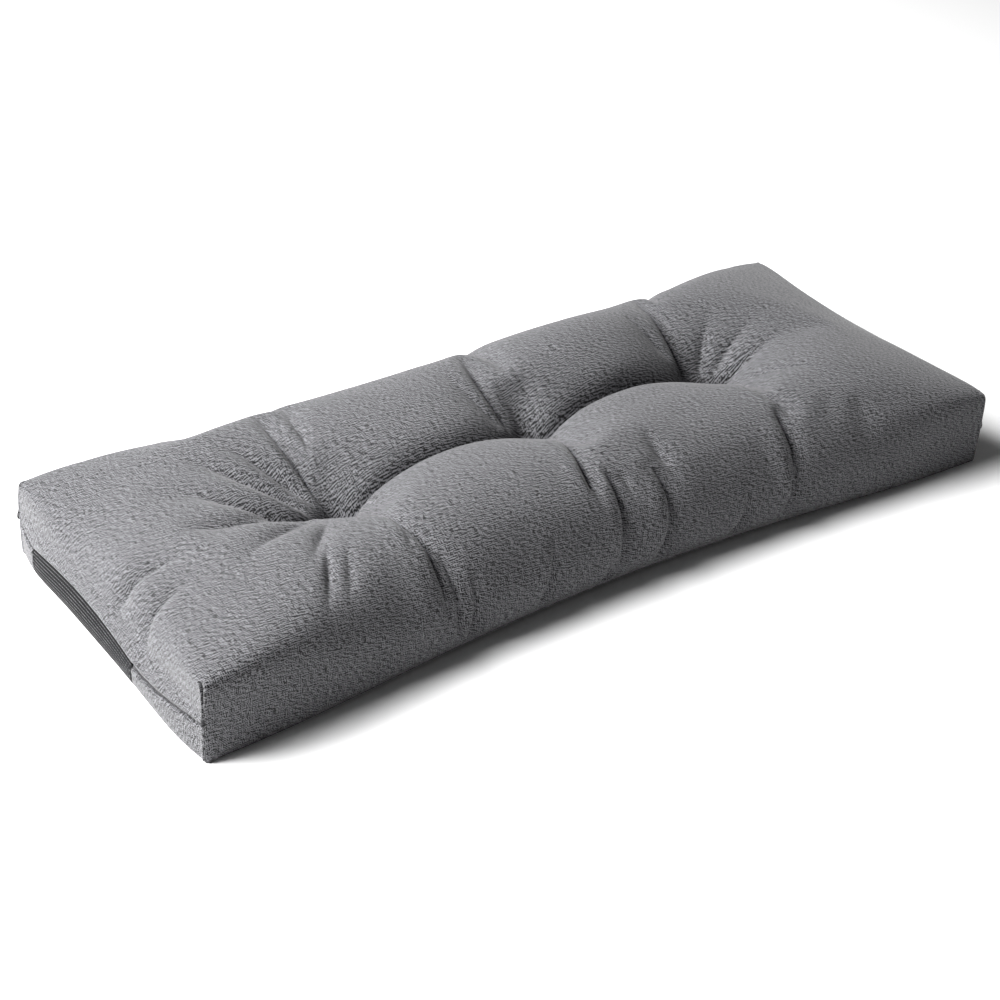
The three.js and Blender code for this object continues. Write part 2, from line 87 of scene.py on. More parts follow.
@dataclass(frozen=True)
class Form:
    """Box cushion filled and not yet tufted: sizes in mm, all shapes from the plain box."""

    length: float = 914.0
    depth: float = 356.0
    corner: float = 82.0
    widest: float = 40.0
    top_reach_side: float = 120.0
    top_reach_end: float = 28.0
    base_reach_middle: float = 28.0
    base_reach_corner: float = 10.0
    base_reach_end: float = 10.0
    middle_power: float = 2.1
    middle_fall: float = 3.0
    round_power: float = 2.12
    corner_power: float = 14.0
    end_sharpness: float = 6.4
    side_sharpness: float = 4.6
    corner_hold: float = 6.0
    crown_rise: float = 45.0
    crown_power: float = 2.4
    side_drawn_in: float = 12.5
    end_drawn_in: float = 1.0
    end_swell: float = 12.0
    end_swell_height: float = 12.0
    end_swell_reach: Pair = (172.0, 40.0)
    probe: float = 0.5
    pad_reach: Pair = (100.0, 80.0)
    pads: tuple[Swell, ...] = (
        Swell(-345, 90, -9),
        Swell(-114, 90, -6),
        Swell(114, 90, 10),
        Swell(345, 90, 7),
        Swell(-345, -90, 0),
        Swell(-114, -90, -3),
        Swell(114, -90, -9),
        Swell(345, -90, 10),
    )

    @property
    def half(self) -> tuple[float, float]:
        """Half the length and half the depth, mm."""
        return self.length / 2, self.depth / 2

    def on_end(self, box: Array) -> Array:
        """Which points of the plain box lie on one of its ends."""
        return np.abs(box[:, 0]) >= self.half[0] - TOUCH

    def on_side(self, box: Array) -> Array:
        """Which points of the plain box lie on one of its long sides."""
        return np.abs(box[:, 1]) >= self.half[1] - TOUCH

    def middle(self, t: Array) -> Array:
        """Weight of the drawn-in middle, 1 at mid-length and 0 at the ends."""
        return np.clip(1.0 - t**self.middle_power, 0.0, 1.0) ** self.middle_fall

    def crown(self, x: Array, y: Array) -> Array:
        """Height of the crown above the corners, pads included."""
        t = np.abs(x) / (self.length / 2)
        rise = self.crown_rise * np.clip(1.0 - t**self.crown_power, 0.0, 1.0)
        for pad in self.pads:
            along = (x - pad.x) / self.pad_reach[0]
            across = (y - pad.y) / self.pad_reach[1]
            rise = rise + pad.rise * np.exp(-(along**2) - across**2)
        return rise

    def place(self, box: Array) -> Array:
        """Take points of the plain box to the filled form.

        Args:
            box: points on the plain box, one row each, mm.

        Returns:
            The same points on the filled form, mm.
        """
        x0, y0, z0 = box.T
        half_l, half_d = self.half
        t, b = np.abs(x0) / half_l, np.abs(y0) / half_d
        upper = z0 >= self.widest
        middle = self.middle(t)
        widening = self.base_reach_middle - self.base_reach_corner
        base_reach = self.base_reach_corner + widening * middle
        reach_x = np.where(upper, self.top_reach_end, self.base_reach_end)
        reach_y = np.where(upper, self.top_reach_side, base_reach)
        px = np.clip((np.abs(x0) - (half_l - reach_x)) / reach_x, 0.0, 1.0)
        py = np.clip((np.abs(y0) - (half_d - reach_y)) / reach_y, 0.0, 1.0)
        above = (z0 - self.widest) / (self.corner - self.widest)
        q = np.where(upper, above, (self.widest - z0) / self.widest)
        sharpen = self.corner_power - self.round_power
        side_power = self.round_power + sharpen * t**self.end_sharpness
        end_power = self.round_power + sharpen * b**self.side_sharpness
        size = np.maximum(power_sum(power_sum(py, q, side_power), px, end_power), TINY)
        y = np.minimum(np.abs(y0), half_d - reach_y) + reach_y * py / size
        x = np.minimum(np.abs(x0), half_l - reach_x) + reach_x * px / size
        hold = (px * py) ** self.corner_hold * np.sqrt(1.0 - q)
        y += (half_d - y) * hold
        x += (half_l - x) * hold
        y *= np.sign(y0) * (1.0 - self.side_drawn_in * middle / half_d)
        x *= np.sign(x0) * (1.0 - self.end_drawn_in * (1.0 - b * b) / half_l)
        rise = np.where(upper, self.corner + self.crown(x0, y0) - self.widest, -self.widest)
        z = self.widest + rise * q / size
        on_end = self.on_end(box)
        up = np.clip(1.0 - ((z0 - self.end_swell_height) / self.end_swell_reach[1]) ** 2, 0.0, 1.0)
        wide = np.clip(1.0 - (np.abs(y0) / self.end_swell_reach[0]) ** 4, 0.0, 1.0)
        x -= np.where(on_end & (x0 < 0), self.end_swell * up * wide, 0.0)
        z += np.where(on_end, STRIP.arch_lift(y0, z0), 0.0)
        return np.stack([x, y, z], -1)

    def directions(self, box: Array) -> tuple[Array, Array]:
        """Directions on the filled form in which u and v grow, at points of the plain box.

        Args:
            box: points on the plain box, one row each, mm.

        Returns:
            Two arrays of unit vectors.
        """
        x0, y0, _ = box.T
        on_end, on_side = self.on_end(box), self.on_side(box)
        found = []
        for axis, value, edge in ((0, x0, on_end & ~on_side), (1, y0, on_side)):
            step = np.zeros_like(box)
            inwards = -np.sign(value) - (value == 0)
            step[:, axis] = np.where(edge, 0.0, self.probe * inwards)
            step[:, 2] = np.where(edge, self.probe, 0.0)
            turn = np.where(edge, -np.sign(value), np.sign(step[:, axis]))
            inside = np.clip(box + step, -np.inf, [np.inf, np.inf, self.corner])
            along = (self.place(inside) - self.place(box)) * turn[:, None]
            found.append(along / np.maximum(np.linalg.norm(along, axis=1, keepdims=True), TINY))
        return found[0], found[1]

    def cloth(self, box: Array) -> tuple[Array, Array]:
        """Place on the cloth: u along the cushion, v round it, from the middle of the top."""
        x0, y0, z0 = box.T
        drop = self.corner - z0
        u = np.sign(x0) * (np.abs(x0) + np.where(self.on_end(box), drop, 0.0))
        v = np.sign(y0) * (np.abs(y0) + np.where(self.on_side(box), drop, 0.0))
        return u, v


@dataclass(frozen=True)
class StripSizes:
    """Non-slip strip: where it lies on the plain box, mm."""

    front: float = -67.0
    back: float = 135.0
    thickness: float = 1.5
    top_line: float = 30.0
    arch_rise: float = 15.0
    arch_middle: float = 30.0
    arch_reach: float = 110.0
    arch_fade: float = 72.0
    clearance: float = 0.4
    seam_bend: float = 1.8

    def arch_lift(self, y: Array, z: Array) -> Array:
        """How far the end's cloth is lifted to follow the strip's arched top edge."""
        along = (y - self.arch_middle) / self.arch_reach
        arch = self.arch_rise * np.clip(1.0 - along**2, 0.0, 1.0)
        below = z / self.top_line
        above = np.clip((self.arch_fade - z) / (self.arch_fade - self.top_line), 0.0, 1.0)
        return arch * np.where(z <= self.top_line, below, above)

    def seam_height(self, y: Array, form: Form) -> Array:
        """Height of the end seam on the plain box: the strip's top edge, rising to the corners."""
        past = np.maximum(self.front - y, y - self.back)
        room = np.where(y < 0, form.depth / 2 + self.front, form.depth / 2 - self.back)
        share = np.clip(past / room, 0.0, 1.0)
        return self.top_line + (form.widest - self.top_line) * share**self.seam_bend


STRIP = StripSizes()
FORM = Form()


# ---- tufts and creases ------------------------------------------------------------------


@dataclass(frozen=True)
class Profile:
    """Cross-section of the creases, in shares of each one's own width, depth and lip."""

    first_width: float = 0.75
    widening: float = 0.5
    full_lip: float = 4.0
    steep: float = 0.45
    gentle: float = 0.5
    valley_share: float = 0.75
    valley_power: float = 1.1
    lip_share: float = 0.35
    lip_place: float = 2.0
    lip_width: float = 1.6
    lean_share: float = 0.7
    lean_place: float = 0.9


PROFILE = Profile()


@dataclass(frozen=True)
class Crease:
    """One crease of the cloth, from (u0, v0) by way of (u1, v1) to (u2, v2), mm.

    A positive lip stands up on the left of that run, a negative one on the right; peak is
    the share of the run at which the crease is deepest.
    """

    u0: float
    v0: float
    u1: float
    v1: float
    u2: float
    v2: float
    depth: float
    width: float
    lip: float
    peak: float

    def run(self, segments: int = 12) -> Array:
        """The crease's run as points on the cloth."""
        a, b, c = np.array([[self.u0, self.v0], [self.u1, self.v1], [self.u2, self.v2]])
        bend = 2 * b - (a + c) / 2
        t = np.linspace(0.0, 1.0, segments + 1)[:, None]
        return a * (1 - t) ** 2 + 2 * bend * t * (1 - t) + c * t * t

    def press(self, u: Array, v: Array) -> Array:
        """How the crease moves the cloth, at places on the cloth.

        Args:
            u: places along the cushion, mm.
            v: places round the cushion, mm.

        Returns:
            Rows of depth, shift along u and shift along v at each place, mm. The depth is
            negative on the lip, and the shift leans the lip over the crease.
        """
        run = self.run()
        steps = np.diff(run, axis=0)
        nearest, side, place = np.full(u.shape, UNSEEN), np.zeros_like(u), np.zeros_like(u)
        away_u, away_v = np.zeros_like(u), np.zeros_like(u)
        for i, (dx, dy) in enumerate(steps):
            from_u, from_v = u - run[i, 0], v - run[i, 1]
            t = np.clip((from_u * dx + from_v * dy) / (dx * dx + dy * dy), 0.0, 1.0)
            off_u, off_v = from_u - t * dx, from_v - t * dy
            distance = np.hypot(off_u, off_v)
            closer = distance < nearest
            nearest = np.where(closer, distance, nearest)
            side = np.where(closer, np.sign(dx * from_v - dy * from_u), side)
            place = np.where(closer, (i + t) / len(steps), place)
            away_u, away_v = np.where(closer, off_u, away_u), np.where(closer, off_v, away_v)
        before, after = smooth(place / self.peak), smooth((1 - place) / (1 - self.peak))
        strength = np.where(place < self.peak, before, after)
        width = self.width * (PROFILE.first_width + PROFILE.widening * place)
        across = nearest * side * (1.0 if self.lip >= 0 else -1.0)
        uneven = min(abs(self.lip) / PROFILE.full_lip, 1.0)
        steep, gentle = 1.0 - PROFILE.steep * uneven, 1.0 + PROFILE.gentle * uneven
        flank = width * np.where(across > 0, steep, gentle)
        fall = (nearest / flank) ** PROFILE.valley_power
        valley = PROFILE.valley_share * self.depth * np.exp(-fall)
        from_lip = (across - PROFILE.lip_place * width) / (PROFILE.lip_width * width)
        lip = PROFILE.lip_share * abs(self.lip) * np.exp(-(from_lip**2))
        from_lean = (across - PROFILE.lean_place * width) / (PROFILE.lean_place * width)
        lean = PROFILE.lean_share * abs(self.lip) * np.exp(-(from_lean**2)) * (across > 0)
        lean = lean * strength / np.maximum(nearest, TOUCH)
        return np.stack([strength * (valley - lip), -lean * away_u, -lean * away_v])


@dataclass(frozen=True)
class Tufts:
    """Three blind tufts with the valleys between them and the creases that run out of them."""

    places: tuple[float, ...] = (-228.0, 0.0, 228.0)
    pit: Pair = (36.0, 20.0)
    dish: Pair = (16.0, 75.0)
    valley: Pair = (15.0, 18.0)
    valley_slot: Pair = (13.0, 6.0)
    valley_dish: Pair = (9.0, 60.0)
    valley_run_out: float = 110.0
    cross_depth: float = 15.0
    cross_reach: float = 120.0
    cross_width: float = 20.0
    cross_spread: float = 0.14
    cross_power: float = 1.3
    cross_end: float = 240.0
    field_fade: Pair = (8.0, 40.0)
    crease_fade: Pair = (1.0, 9.0)
    creases: tuple[Crease, ...] = (
        Crease(-250, -32, -318, -12, -390, 4, 18, 9, 2, 0.35),
        Crease(-258, -18, -302, 16, -362, 72, 20, 9, 0, 0.40),
        Crease(-246, 4, -281, 44, -332, 112, 19, 8, 0, 0.40),
        Crease(-238, 12, -260, 54, -292, 116, 16, 8, 0, 0.40),
        Crease(-230, 16, -239, 64, -230, 165, 8, 5, 3, 0.40),
        Crease(-216, 60, -213, 88, -204, 160, 6, 5, 2, 0.50),
        Crease(-250, -34, -292, -82, -326, -130, 7, 9, -1, 0.40),
        Crease(-284, -84, -310, -135, -332, -205, 6, 7, -1, 0.45),
        Crease(-270, -90, -291, -145, -304, -200, 4, 7, 0, 0.50),
        Crease(-262, -38, -318, -52, -376, -82, 7, 9, 0, 0.35),
        Crease(-216, -20, -222, -84, -233, -185, 5, 4, -3, 0.50),
        Crease(-226, -60, -214, -150, -216, -236, 13, 8, -5, 0.60),
        Crease(-205, -160, -200, -205, -203, -254, 7, 6, -3, 0.60),
        Crease(-180, -190, -182, -218, -190, -256, 7, 5, -3, 0.60),
        Crease(-385, -30, -446, -20, -505, -24, 10, 8, 2, 0.50),
        Crease(-400, -58, -448, -66, -505, -78, 9, 8, 2, 0.50),
        Crease(2, -30, -28, -112, -26, -205, 17, 5, -6, 0.50),
        Crease(-6, -130, -8, -186, -14, -236, 14, 6, -4, 0.60),
        Crease(2, -150, 7, -176, 12, -204, 4, 4, -2, 0.50),
        Crease(41, -172, 43, -206, 28, -252, 15, 6, -6, 0.50),
        Crease(64, -96, 59, -150, 66, -206, 6, 7, 0, 0.55),
        Crease(140, -196, 136, -224, 118, -256, 6, 5, -3, 0.60),
        Crease(-86, -195, -97, -217, -112, -254, 7, 5, -3, 0.60),
        Crease(-24, -210, -29, -240, -38, -258, 6, 5, -3, 0.60),
        Crease(-17, 12, -22, 62, -2, 150, 9, 6, 3, 0.30),
        Crease(-24, 14, -42, 50, -50, 125, 5, 8, 0, 0.25),
        Crease(12, 60, 16, 110, 22, 205, 5, 8, 0, 0.60),
        Crease(216, 14, 217, 54, 230, 160, 11, 6, 3, 0.35),
        Crease(202, 24, 190, 60, 181, 105, 4, 8, 0, 0.30),
        Crease(238, 16, 253, 37, 292, 76, 7, 7, 0, 0.30),
        Crease(244, 12, 279, 22, 328, 40, 8, 7, 0, 0.30),
        Crease(246, 2, 285, -6, 340, -2, 4, 7, 2, 0.25),
        Crease(216, -40, 212, -100, 226, -175, 7, 5, -3, 0.50),
        Crease(208, -120, 203, -180, 202, -228, 11, 7, -4, 0.55),
        Crease(190, -194, 193, -216, 188, -248, 8, 4, -4, 0.50),
        Crease(244, -10, 266, -58, 305, -104, 4, 9, 3, 0.35),
        Crease(238, 100, 252, 150, 262, 214, 5, 8, 2, 0.60),
    )

    def run_out(self, u: Array) -> Array:
        """Strength of the long valley: 1 between the tufts, easing to 0 past the outer ones."""
        past = np.maximum(np.abs(u) - self.places[-1], 0.0)
        return smooth(1.0 - past / self.valley_run_out)

    def radius(self, u: Array, v: Array) -> Array:
        """Distance on the cloth to the nearest tuft, mm."""
        return np.min([np.hypot(u - x, v) for x in self.places], axis=0)

    def drawn(self, u: Array, v: Array) -> Array:
        """How much of a crease or valley runs through places on the cloth, mm."""
        depth = np.zeros_like(u)
        for crease in self.creases:
            depth += np.abs(crease.press(u, v)[0])
        return depth + self.valley[0] * self.run_out(u) * np.exp(-((v / self.valley[1]) ** 2))

    def pull(self, u: Array, v: Array) -> Array:
        """Depth of the tufts and valleys at places on the cloth, mm."""
        along = np.abs(v)
        depth = self.run_out(u) * (
            self.valley[0] * np.exp(-along / self.valley[1])
            + self.valley_slot[0] * np.exp(-along / self.valley_slot[1])
            + self.valley_dish[0] * np.exp(-((along / self.valley_dish[1]) ** 2))
        )
        for x in self.places:
            radius = np.hypot(u - x, v)
            depth += self.pit[0] * np.exp(-radius / self.pit[1])
            depth += self.dish[0] * np.exp(-((radius / self.dish[1]) ** 2))
            width = self.cross_width + self.cross_spread * along
            depth += (
                self.cross_depth
                * np.exp(-along / self.cross_reach)
                * np.exp(-((np.abs(u - x) / width) ** self.cross_power))
                * np.clip(1.0 - along / self.cross_end, 0.0, 1.0)
            )
        return depth

    def total(self, u: Array, v: Array, height: Array, gain: float) -> Array:
        """Tufts and creases together, eased out towards the floor.

        Args:
            u: places along the cushion, mm.
            v: places round the cushion, mm.
            height: height of each place on the plain box, mm.
            gain: how strongly the creases are drawn.

        Returns:
            Rows of depth, shift along u and shift along v at each place, mm.
        """
        creases = np.zeros((3, len(u)))
        for crease in self.creases:
            creases += gain * crease.press(u, v)
        lift, over = self.field_fade
        low, span = self.crease_fade
        creases *= np.clip((height - low) / span, 0.0, 1.0)
        creases[0] += self.pull(u, v) * np.clip((height - lift) / over, 0.0, 1.0)
        return creases


# ---- meshes -----------------------------------------------------------------------------


class BoxGrid:
    """Closed quad mesh over a plain box, from grid lines along its three edges."""

    def __init__(self, xs: Sequence[float], ys: Sequence[float], zs: Sequence[float]) -> None:
        """Number the corners of the grid that lie on the box's skin.

        Args:
            xs: grid lines along the length, mm.
            ys: grid lines along the depth, mm.
            zs: grid lines up the height, mm.
        """
        self.lines = tuple(np.asarray(line, float) for line in (xs, ys, zs))
        self.counts = tuple(len(line) - 1 for line in self.lines)
        self.index: dict[tuple[int, int, int], int] = {}
        self.corners: list[tuple[int, int, int]] = []

    def at(self, i: int, j: int, k: int) -> int:
        """Number of one corner of the grid."""
        key = (i, j, k)
        if key not in self.index:
            self.index[key] = len(self.corners)
            self.corners.append(key)
        return self.index[key]

    def numbers(self) -> Array:
        """Number of every corner of the grid, -1 inside the box."""
        table = np.full([count + 1 for count in self.counts], -1)
        keys = np.array(self.corners)
        table[keys[:, 0], keys[:, 1], keys[:, 2]] = np.arange(len(keys))
        return table

    def wrapped(self) -> Array:
        """Numbers of the corners up the front, over the top and down the back, in rows."""
        number, (_, ny, nz) = self.numbers(), self.counts
        down = number[:, ny, nz - 1 :: -1]
        return np.concatenate([number[:, 0, :nz], number[:, :, nz], down], axis=1)

    def points(self) -> Array:
        """All numbered corners on the plain box, mm."""
        keys = np.array(self.corners)
        return np.stack([self.lines[axis][keys[:, axis]] for axis in range(3)], -1)

    def quad(self, axis: int, line: int, a: int, b: int) -> list[int]:
        """One outward quad.

        Args:
            axis: the axis that the quad's face lies across.
            line: that axis's grid line, the first or the last.
            a: the quad's first place on the earlier of the other two axes.
            b: its first place on the later one.

        Returns:
            Numbers of its corners.
        """
        plain = (line > 0) != (axis == 1)
        corners = []
        for da, db in ((0, 0), (plain, not plain), (1, 1), (not plain, plain)):
            key = [a + da, b + db]
            key.insert(axis, line)
            corners.append(self.at(*key))
        return corners

    def across(self, axis: int, lines: Sequence[int]) -> list[list[int]]:
        """Quads of the faces that lie across one axis, at some of its grid lines."""
        rows, columns = (self.counts[other] for other in range(3) if other != axis)
        cells = [(a, b) for a in range(rows) for b in range(columns)]
        return [self.quad(axis, line, a, b) for a, b in cells for line in lines]

    def skin(self) -> tuple[list[list[int]], list[list[int]], list[list[int]]]:
        """Quads of the top, of the two long sides and of the two ends."""
        nx, ny, nz = self.counts
        return self.across(2, (nz,)), self.across(1, (0, ny)), self.across(0, (0, nx))

    def underside(self, ring_x: int, ring_y: int) -> tuple[list[list[int]], list[list[int]]]:
        """Quads of the underside's rim, and one large face for its flat middle.

        Args:
            ring_x: columns of quads kept at each end.
            ring_y: rows of quads kept along each side.

        Returns:
            The rim's quads and the outline of the flat middle.
        """
        nx, ny, _ = self.counts
        left, right, near, far = ring_x, nx - ring_x, ring_y, ny - ring_y
        cells = [(i, j) for i in range(nx) for j in range(ny)]
        kept = [(i, j) for i, j in cells if not (left <= i < right and near <= j < far)]
        rim = [self.quad(2, 0, i, j) for i, j in kept]
        outline = [self.at(left, j, 0) for j in range(near, far)]
        outline += [self.at(i, far, 0) for i in range(left, right)]
        outline += [self.at(right, j, 0) for j in range(far, near, -1)]
        outline += [self.at(i, near, 0) for i in range(right, left, -1)]
        return rim, [outline]


def run_length(points: Array, axis: int, start: int) -> Array:
    """Length along a grid of points in one direction, from one of its lines.

    Args:
        points: rows and columns of xyz, mm.
        axis: 0 to run down the rows, 1 to run along them.
        start: the line at which the length is 0.

    Returns:
        Length at each point, negative before the starting line, mm.
    """
    steps = np.linalg.norm(np.diff(points, axis=axis), axis=2)
    total = np.insert(np.cumsum(steps, axis=axis), 0, 0.0, axis=axis)
    return total - np.take(total, [start], axis=axis)


def vertex_normals(points: Array, quads: Array) -> Array:
    """Mean outward direction at each point of a quad mesh."""
    a, b, c, d = (points[quads[:, corner]] for corner in range(4))
    face = np.cross(c - a, d - b)
    total = np.zeros_like(points)
    for corner in range(4):
        np.add.at(total, quads[:, corner], face)
    return total / np.maximum(np.linalg.norm(total, axis=1, keepdims=True), TINY)


def even_lines(start: float, stop: float, step: float) -> list[float]:
    """Evenly spaced grid lines from start to stop, neither left out."""
    return list(np.linspace(start, stop, max(1, round((stop - start) / step)) + 1))


def make_object(name: str, points: Array, faces: Iterable[Sequence[int]]) -> bpy.types.Object:
    """Link a smooth-shaded mesh object at the origin.

    Args:
        name: name of the piece.
        points: its corners in the form's own mm.
        faces: its faces, outwards.

    Returns:
        The new object, in metres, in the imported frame.
    """
    mesh = bpy.data.meshes.new(name)
    placed = (points + np.array([ORIGIN_SHIFT, 0.0, 0.0])) * MM
    mesh.from_pydata(placed.tolist(), [], [list(face) for face in faces])
    mesh.polygons.foreach_set("use_smooth", [True] * len(mesh.polygons))
    mesh.update()
    return link_object(name, mesh)


def link_object(name: str, data: bpy.types.ID) -> bpy.types.Object:
    """Put a mesh, light or camera into the scene."""
    obj = bpy.data.objects.new(name, data)
    bpy.context.scene.collection.objects.link(obj)
    return obj


def loop_corners(mesh: bpy.types.Mesh) -> Array:
    """Number of the vertex at every face corner."""
    corner = np.empty(len(mesh.loops), dtype=np.int64)
    mesh.loops.foreach_get("vertex_index", corner)
    return corner


def write_uv(mesh: bpy.types.Mesh, place: Array) -> None:
    """Give every face corner its place on the cloth, from mm."""
    layer = mesh.uv_layers.new(name="cloth")
    layer.data.foreach_set("uv", (place * MM).astype(np.float32).ravel())


# ---- finishes ---------------------------------------------------------------------------


class Nodes:
    """Short way to lay out a material's nodes."""

    def __init__(self, name: str) -> None:
        """Make an empty material with a Principled shader.

        Args:
            name: the material's name.
        """
        self.material = bpy.data.materials.new(name)
        self.material.use_nodes = True
        self.tree = self.material.node_tree
        self.shader = self.tree.nodes["Principled BSDF"]

    def add(self, kind: str, inputs: dict | None = None, **settings: object) -> bpy.types.Node:
        """Add a node, set its properties, and set or link its inputs.

        Args:
            kind: the node's type.
            inputs: value or output socket for each named or numbered input.
            **settings: the node's own properties.

        Returns:
            The node.
        """
        node = self.tree.nodes.new(kind)
        for key, value in settings.items():
            setattr(node, key, value)
        for key, value in (inputs or {}).items():
            if isinstance(value, bpy.types.NodeSocket):
                self.tree.links.new(value, node.inputs[key])
            else:
                node.inputs[key].default_value = value
        return node

    def finish(
        self, base: object, bump: dict | None = None, **constants: float
    ) -> bpy.types.Material:
        """Give the shader its colour, its bump and its constants.

        Args:
            base: colour, or the socket it comes from.
            bump: inputs of the bump node, if there is to be one.
            **constants: value of each other input, its name in small letters with underscores.

        Returns:
            The finished material.
        """
        inputs = self.shader.inputs
        if isinstance(base, bpy.types.NodeSocket):
            self.tree.links.new(base, inputs["Base Color"])
        else:
            inputs["Base Color"].default_value = base
        if bump:
            self.tree.links.new(self.add("ShaderNodeBump", bump).outputs[0], inputs["Normal"])
        for socket in inputs:
            key = socket.name.lower().replace(" ", "_")
            if key in constants:
                socket.default_value = constants[key]
        return self.material

    def cloth(self) -> bpy.types.NodeSocket:
        """Place on the cloth, m."""
        return self.add("ShaderNodeUVMap", uv_map="cloth").outputs[0]

    def math(
        self, operation: str, a: object, b: object = 0.0, clamp: bool = False
    ) -> bpy.types.NodeSocket:
        """One step of arithmetic."""
        node = self.add("ShaderNodeMath", {0: a, 1: b}, operation=operation, use_clamp=clamp)
        return node.outputs[0]

    def mix(self, share: object, a: object, b: object) -> bpy.types.NodeSocket:
        """Blend two colours."""
        node = self.add("ShaderNodeMix", data_type="RGBA")
        for key, value in (("Factor", share), ("A", a), ("B", b)):
            socket = next(s for s in node.inputs if s.enabled and s.name == key)
            if isinstance(value, bpy.types.NodeSocket):
                self.tree.links.new(value, socket)
            else:
                socket.default_value = value
        return next(s for s in node.outputs if s.enabled)

    def streaks(
        self, uv: bpy.types.NodeSocket, size: Pair, shift: Pair = (0.0, 0.0)
    ) -> bpy.types.NodeSocket:
        """Noise drawn out along the cloth.

        Args:
            uv: place on the cloth, m.
            size: size of a streak along and round the cushion, m.
            shift: where the noise is read, in streaks along and round.

        Returns:
            The noise, about 0.5.
        """
        scale = (1 / size[0], 1 / size[1], 1.0)
        move = {"Vector": uv, "Location": (*shift, 0.0), "Scale": scale}
        scaled = self.add("ShaderNodeMapping", move).outputs[0]
        flat = {"Vector": scaled, "Scale": 1.0, "Detail": 0.0}
        return self.add("ShaderNodeTexNoise", flat, noise_dimensions="2D").outputs["Fac"]

    def threads(self, uv: bpy.types.NodeSocket, size: Pair, shift: Pair) -> bpy.types.NodeSocket:
        """Fine threads with no broad blotches: one reading of a noise less a shifted one."""
        return self.math("SUBTRACT", self.streaks(uv, size), self.streaks(uv, size, shift))

    def weigh(self, *parts: tuple[bpy.types.NodeSocket, float]) -> bpy.types.NodeSocket:
        """Sum of values, each times its weight."""
        total: object = 0.0
        for value, weight in parts:
            total = self.math("ADD", total, self.math("MULTIPLY", value, weight))
        return total


@dataclass(frozen=True)
class Thread:
    """One kind of thread in a weave: its size, m, where it is read again, and its weight."""

    size: Pair
    shift: Pair
    weight: float


@dataclass(frozen=True)
class HeatherCloth:
    """Heathered grey linen-look weave, with painted shade along the seams."""

    dark: Colour = (0.006, 0.006, 0.0064, 1.0)
    light: Colour = (0.178, 0.177, 0.188, 1.0)
    # painted shade: near-black mixed in along the seams, standing in for the shade in their
    # grooves
    seam: Colour = (0.004, 0.004, 0.005, 1.0)
    seam_shade_share: float = 0.95
    row: Thread = Thread((0.0130, 0.0009), (0.0, 0.8), 3.2)
    column: Thread = Thread((0.0009, 0.0070), (0.8, 0.0), 3.0)
    dash: Thread = Thread((0.0050, 0.0009), (0.4, 0.8), 5.0)
    speck: Thread = Thread((0.0010, 0.0008), (0.7, 0.7), 5.2)
    middle: float = 0.47
    contrast: float = 2.0
    bump_strength: float = 0.05
    bump_distance: float = 0.0003
    roughness: float = 0.92
    specular: float = 0.25
    sheen: float = 0.15
    sheen_roughness: float = 0.5

    def make(self) -> bpy.types.Material:
        """Build the material."""
        nodes = Nodes("heather_cloth")
        uv = nodes.cloth()
        kinds = (self.row, self.column, self.dash, self.speck)
        row, column, dash, speck = [nodes.threads(uv, kind.size, kind.shift) for kind in kinds]
        weights = [kind.weight for kind in kinds]
        weave = nodes.weigh(*zip((row, column, dash, speck), weights))
        weave = nodes.math("ADD", weave, self.middle, clamp=True)
        weave = nodes.math("POWER", weave, self.contrast)
        # painted shade along the seams: the cover's seam attribute is 1 on a seam and fades to 0 a
        # few mm away
        seam = nodes.add("ShaderNodeAttribute", attribute_name="seam").outputs["Fac"]
        base = nodes.mix(weave, self.dark, self.light)
        base = nodes.mix(nodes.math("MULTIPLY", seam, self.seam_shade_share), base, self.seam)
        height = nodes.weigh((row, 1.0), (dash, 1.0), (speck, 1.0))
        bump = {"Height": height, "Strength": self.bump_strength, "Distance": self.bump_distance}
        return nodes.finish(
            base,
            bump,
            roughness=self.roughness,
            specular_ior_level=self.specular,
            sheen_weight=self.sheen,
            sheen_roughness=self.sheen_roughness,
        )


@dataclass(frozen=True)
class GripCloth:
    """Charcoal ground of the non-slip strip."""

    ground: Colour = (0.003, 0.003, 0.0034, 1.0)
    worn: Colour = (0.009, 0.009, 0.010, 1.0)
    rib: Pair = (0.0009, 0.0060)
    fine: Pair = (0.0008, 0.0008)
    share: float = 0.6
    bump_strength: float = 0.6
    bump_distance: float = 0.0005
    roughness: float = 0.85
    specular: float = 0.1

    def make(self) -> bpy.types.Material:
        """Build the material."""
        nodes = Nodes("grip_cloth")
        uv = nodes.cloth()
        rib, fine = nodes.streaks(uv, self.rib), nodes.streaks(uv, self.fine)
        tone = nodes.weigh((rib, self.share), (fine, self.share))
        base = nodes.mix(tone, self.ground, self.worn)
        bump = {"Height": tone, "Strength": self.bump_strength, "Distance": self.bump_distance}
        return nodes.finish(base, bump, roughness=self.roughness, specular_ior_level=self.specular)


@dataclass(frozen=True)
class GripDash:
    """Pale rubbery dash of the non-slip strip."""

    dull: Colour = (0.06, 0.06, 0.063, 1.0)
    pale: Colour = (0.13, 0.13, 0.1365, 1.0)
    grain: float = 900.0
    roughness: float = 0.6

    def make(self) -> bpy.types.Material:
        """Build the material."""
        nodes = Nodes("grip_dash")
        place = nodes.add("ShaderNodeTexCoord").outputs["Object"]
        grains = {"Vector": place, "Scale": self.grain, "Detail": 1.0}
        noise = nodes.add("ShaderNodeTexNoise", grains).outputs["Fac"]
        return nodes.finish(nodes.mix(noise, self.dull, self.pale), roughness=self.roughness)


# ---- settling ---------------------------------------------------------------------------


